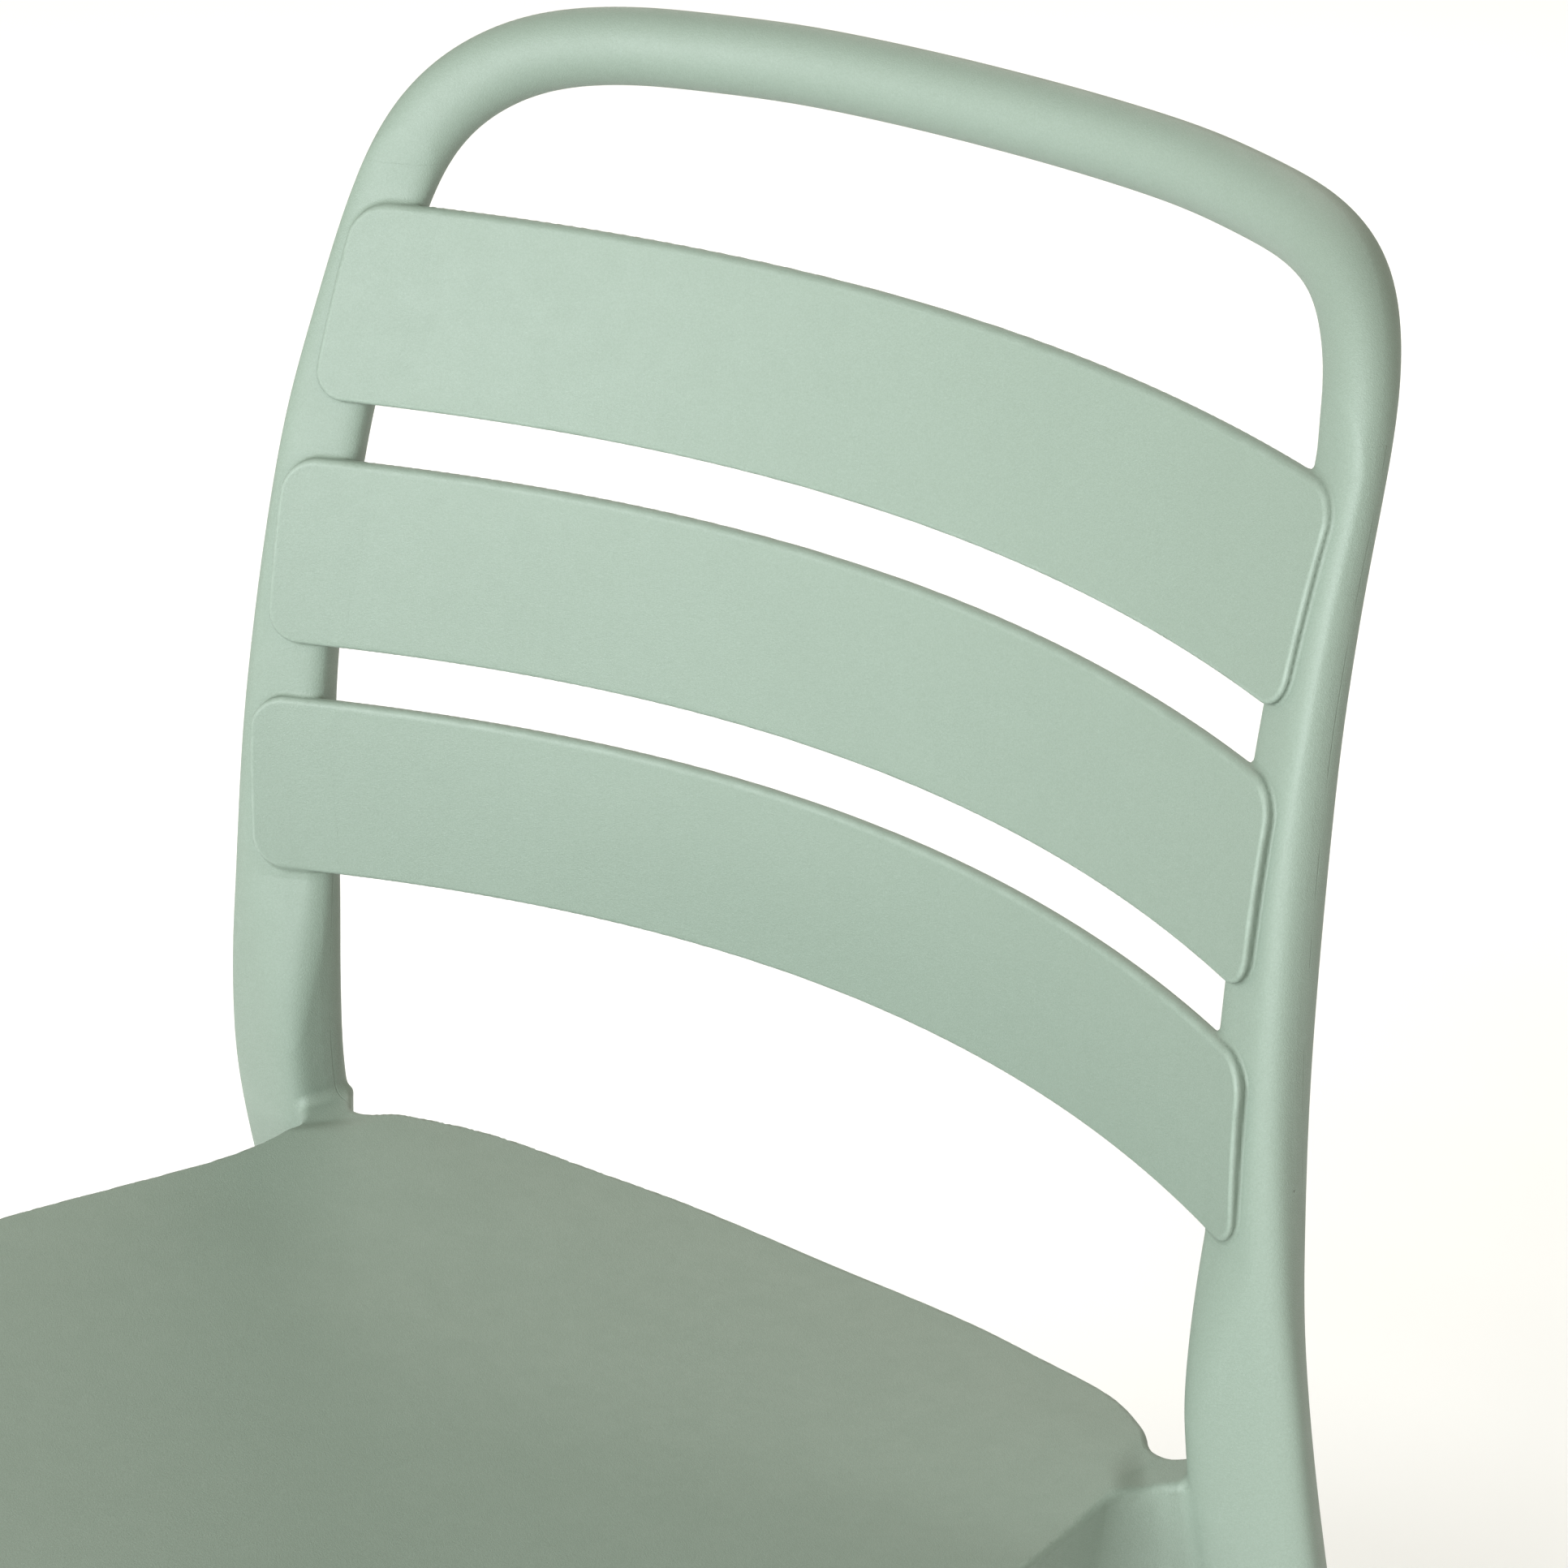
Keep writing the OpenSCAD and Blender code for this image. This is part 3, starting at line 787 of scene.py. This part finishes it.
def glide_material():
    """Soft grey-green elastomer, scuffed where it meets the floor."""
    n = Nodes("glide_elastomer")
    scuff = n.noise(260, 4, 0.65)
    grain = n.noise(1500, 2)
    edge = n.attribute("edge")
    colour = n.mix(n.range(grain, 0.35, 0.65, 0.0, 0.25), RUBBER, RUBBER_DARK)
    worn = n.math("MULTIPLY", n.range(edge, 0.1, 0.7), n.range(scuff, 0.35, 0.6, 0.2, 0.8))
    colour = n.mix(worn, colour, RUBBER_WORN)
    n.set(n.shader.inputs["Base Color"], colour)
    n.set(n.shader.inputs["Roughness"], n.range(scuff, 0.3, 0.7, 0.62, 0.82))
    n.shader.inputs["Specular IOR Level"].default_value = 0.3
    n.set(n.shader.inputs["Normal"], n.bump(grain, 0.0004, 0.35, n.bump(scuff, 0.0006, 0.2)))
    return n.material


# --- Pieces ---------------------------------------------------------------------------------------

MOULDING = moulding_material()
ELASTOMER = glide_material()


def pair(part, shape, low, high, voxel, planes):
    """A piece on the right and its mirror image on the left."""
    mesh, normals = mesh_section("right_" + part, shape, low, high, voxel, planes)
    other = mirrored(mesh, normals, "left_" + part)
    for side, m in (("right", mesh), ("left", other)):
        place(f"moulded_{side}_{part}", m, MOULDING, [f"{side}_{part}"])


def make_top_rail():
    point, travel = tube_plane(POST_END)
    mesh, _ = mesh_section(
        "top_rail", rail_shape, (-215, 175, 764), (215, 292, 830), RAIL_VOXEL,
        [(point, -travel), (point * FLIP, -travel * FLIP)])
    place("moulded_top_rail", mesh, MOULDING, ["top_rail"])


def make_posts():
    top, top_travel = tube_plane(POST_END)
    bottom, bottom_travel = tube_plane(LEG_END)
    pair("post", post_shape, (170, 100, 408), (240, 232, 792), POST_VOXEL,
         [(top, top_travel), (bottom, -bottom_travel),
          ((SLAT_END, 0, 0), (-1, 0, 0), SPLIT, UPPER_HIGH[2] + 5),
          ((NECK_CUT, 0, 0), (-DIAGONAL, -DIAGONAL, 0))])


def make_slats():
    for level, name in enumerate(("bottom_slat", "middle_slat", "top_slat")):
        low = SLAT_LOW[2] + level * SLAT_PITCH
        mesh, _ = mesh_section(
            name, back_shape, (-190, 100, low - 4), (190, 250, low + SLAT_H + 4), SLAT_VOXEL,
            [((SLAT_END, 0, 0), (1, 0, 0)), ((-SLAT_END, 0, 0), (-1, 0, 0))])
        place("moulded_" + name, mesh, MOULDING, [name])


def make_seat():
    mesh, _ = mesh_section(
        "seat", seat_shape, (-216, -262, 368), (216, 196, 462), SEAT_VOXEL,
        [((NECK_CUT, 0, 0), (DIAGONAL, DIAGONAL, 0)), ((-NECK_CUT, 0, 0), (-DIAGONAL, DIAGONAL, 0)),
         ((0, 0, LEG_TOP), (0, 0, -1))])
    place("moulded_seat", mesh, MOULDING,
          ["seat_panel", "left_neck", "right_neck", "left_side_rail", "right_side_rail"])


def make_legs():
    point, travel = tube_plane(LEG_END)
    pair("rear_leg", rear_leg_shape, (170, 100, 4), (240, 250, 438), LEG_VOXEL,
         [(point, travel), ((NECK_CUT, 0, 0), (-DIAGONAL, -DIAGONAL, 0))])
    pair("front_leg", leg_shape, (165, -292, 4), (245, -170, 388), LEG_VOXEL,
         [((0, 0, LEG_TOP), (0, 0, 1))])


# --- Ribs and cross rails under the seat ----------------------------------------------------------

RIB_T = FRONT_WEB[1][1] - FRONT_WEB[0][1]
RIB_COUNT = 5
RIB_GAP = (RIBS[1][0] - RIBS[0][0] - RIB_T) / (RIB_COUNT - 1)
RIB_DROP = 12.0
WEB_DROP = RAIL_DROP - 4
ROOT = 1.2
FOOT_R = 2.2


def web_shape(q, aside, ends, drop):
    """An upright web under the seat, thinner at its lower edge, with a fillet along its root."""
    depth = -seat.height(q) - SEAT_T
    thin = RIB_T / 2 - 0.5 * np.clip(depth / drop, 0, 1)
    web = rounded(rounded(aside - thin, depth - drop, 1.2), ends, 1.0)
    root = joined(web, -depth - 0.05, FOOT_R)
    return np.maximum(np.maximum(root, -depth - ROOT), web - FOOT_R)


def ribs_shape(q):
    """The lengthwise ribs, whose ends are set into the cross rails."""
    near = np.clip(np.round(q[:, 0] / RIB_GAP), -(RIB_COUNT // 2), RIB_COUNT // 2) * RIB_GAP
    middle, reach = (RIBS[0][1] + RIBS[1][1]) / 2, (RIBS[1][1] - RIBS[0][1]) / 2 + 1
    return web_shape(q, np.abs(q[:, 0] - near), np.abs(q[:, 1] - middle) - reach, RIB_DROP)


def cross_rail_shape(y, reach):
    return lambda q: web_shape(q, np.abs(q[:, 1] - y), np.abs(q[:, 0]) - reach, WEB_DROP)


def make_underside():
    mesh, _ = mesh_section("ribs", ribs_shape, RIBS[0] - 6, RIBS[1] + 6, WEB_VOXEL)
    place("moulded_under_seat_ribs", mesh, MOULDING, ["under_seat_ribs"])
    for name, (low, high) in (("front_cross_rail", FRONT_WEB), ("rear_cross_rail", REAR_WEB)):
        shape = cross_rail_shape((low[1] + high[1]) / 2, high[0] + 3)
        mesh, _ = mesh_section(name, shape, low - 8, high + 8, WEB_VOXEL)
        place("moulded_" + name, mesh, MOULDING, [name])


# --- Glides ---------------------------------------------------------------------------------------

GLIDE_STEPS = 72


def glide_profile():
    """Half the section of a glide, from the middle of its underside to its top: radius and height."""
    def arc(r, z, size, start, end):
        return [(r + size * math.cos(math.radians(a)), z + size * math.sin(math.radians(a)))
                for a in np.linspace(start, end, 7)]

    groove = [(3.0, 0.9), (3.6, 0.9), (4.4, 0.0)]
    ring = [(9.2, 0.0), (9.7, 0.5), (10.3, 0.5), (10.8, 0.0)]
    return ([(0.0, 0.9)] + groove + ring + arc(GLIDE_R - 1.6, 1.6, 1.6, -90, 0)
            + arc(GLIDE_R - 1.2, GLIDE_T - 2.2, 1.2, 0, 90)
            + [(GLIDE_R - 1.9, GLIDE_T - 1.0), (GLIDE_R - 1.9, GLIDE_T), (0.0, GLIDE_T)])


def make_glide(name, low, high):
    """A turned glide with a recessed underside and a narrow neck under the leg."""
    x, y = (low[0] + high[0]) / 2, (low[1] + high[1]) / 2
    turns = [2 * math.pi * k / GLIDE_STEPS for k in range(GLIDE_STEPS)]
    bm = bmesh.new()
    rings = []
    for r, z in glide_profile():
        if r < 1e-6:
            rings.append([bm.verts.new(Vector((x, y, z)) * MM)] * GLIDE_STEPS)
        else:
            rings.append([bm.verts.new(Vector((x + r * math.cos(t), y + r * math.sin(t), z)) * MM)
                          for t in turns])
    for a, b in zip(rings, rings[1:]):
        for k in range(GLIDE_STEPS):
            n = (k + 1) % GLIDE_STEPS
            corners = list(dict.fromkeys((a[k], a[n], b[n], b[k])))
            bm.faces.new(corners)
    bmesh.ops.recalc_face_normals(bm, faces=bm.faces)
    mesh = bpy.data.meshes.new(name)
    bm.to_mesh(mesh)
    bm.free()
    mesh.shade_smooth()
    mesh.set_sharp_from_angle(angle=math.radians(40))
    p = points_of(mesh)
    rim = np.hypot(p[:, 0] - x, p[:, 1] - y) > GLIDE_R - 1.4
    store(mesh, "edge", np.where(rim & ((p[:, 2] < 1.7) | (p[:, 2] > GLIDE_T - 2.4)), 0.6, 0.0))
    place(f"turned_{name}", mesh, ELASTOMER, [name])


def make_glides():
    for name in ("right_front_glide", "left_front_glide", "right_rear_glide", "left_rear_glide"):
        make_glide(name, *box_mm(name))


make_top_rail()
make_posts()
make_slats()
make_seat()
make_legs()
make_underside()
make_glides()


# --- Stage ----------------------------------------------------------------------------------------

FLOOR_PALE = (0.95, 0.95, 0.96, 1)
FLOOR_PALER = (0.97, 0.97, 0.98, 1)
WORLD_WARM = (1.0, 0.96, 0.84, 1)
WORLD_STRENGTH = 0.62
CAMERA_AT = (1.1817, -1.1761, 1.4032)
CAMERA_AIM = (-0.6043, 0.6849, -0.4071)
CAMERA_LENS = 137.9


def make_floor():
    bm = bmesh.new()
    bmesh.ops.create_grid(bm, x_segments=2, y_segments=2, size=12)
    mesh = bpy.data.meshes.new("floor")
    bm.to_mesh(mesh)
    bm.free()
    floor = bpy.data.objects.new("floor", mesh)
    bpy.context.scene.collection.objects.link(floor)
    n = Nodes("pale_floor")
    n.set(n.shader.inputs["Base Color"], n.mix(n.noise(3, 2), FLOOR_PALE, FLOOR_PALER))
    n.shader.inputs["Roughness"].default_value = 0.9
    mesh.materials.append(n.material)


def make_light(name, place_at, target, size, watts, colour):
    data = bpy.data.lights.new(name, "AREA")
    data.shape = "RECTANGLE"
    data.size, data.size_y = size
    data.energy = watts
    data.color = colour
    light = bpy.data.objects.new(name, data)
    light.location = place_at
    light.rotation_euler = (Vector(target) - Vector(place_at)).to_track_quat("-Z", "Y").to_euler()
    bpy.context.scene.collection.objects.link(light)


def make_world():
    world = bpy.data.worlds.new("studio")
    bpy.context.scene.world = world
    world.use_nodes = True
    background = world.node_tree.nodes["Background"]
    background.inputs["Color"].default_value = WORLD_WARM
    background.inputs["Strength"].default_value = WORLD_STRENGTH


def make_camera():
    data = bpy.data.cameras.new("camera")
    data.sensor_width = 36
    data.lens = CAMERA_LENS
    camera = bpy.data.objects.new("camera", data)
    camera.location = CAMERA_AT
    camera.rotation_euler = Vector(CAMERA_AIM).to_track_quat("-Z", "Y").to_euler()
    bpy.context.scene.collection.objects.link(camera)
    bpy.context.scene.camera = camera


make_floor()
make_world()
make_light("front_softbox", (1.2, -9.0, 4.2), (0, 0, 0.6), (7.2, 5.4), 1690, (0.96, 1.0, 1.04))
make_light("rear_panel", (-1.6, 2.4, 1.9), (0.1, 0, 0.44), (1.8, 1.2), 18, (1.0, 0.97, 0.90))
make_camera()
bpy.context.scene.view_settings.view_transform = "Standard"
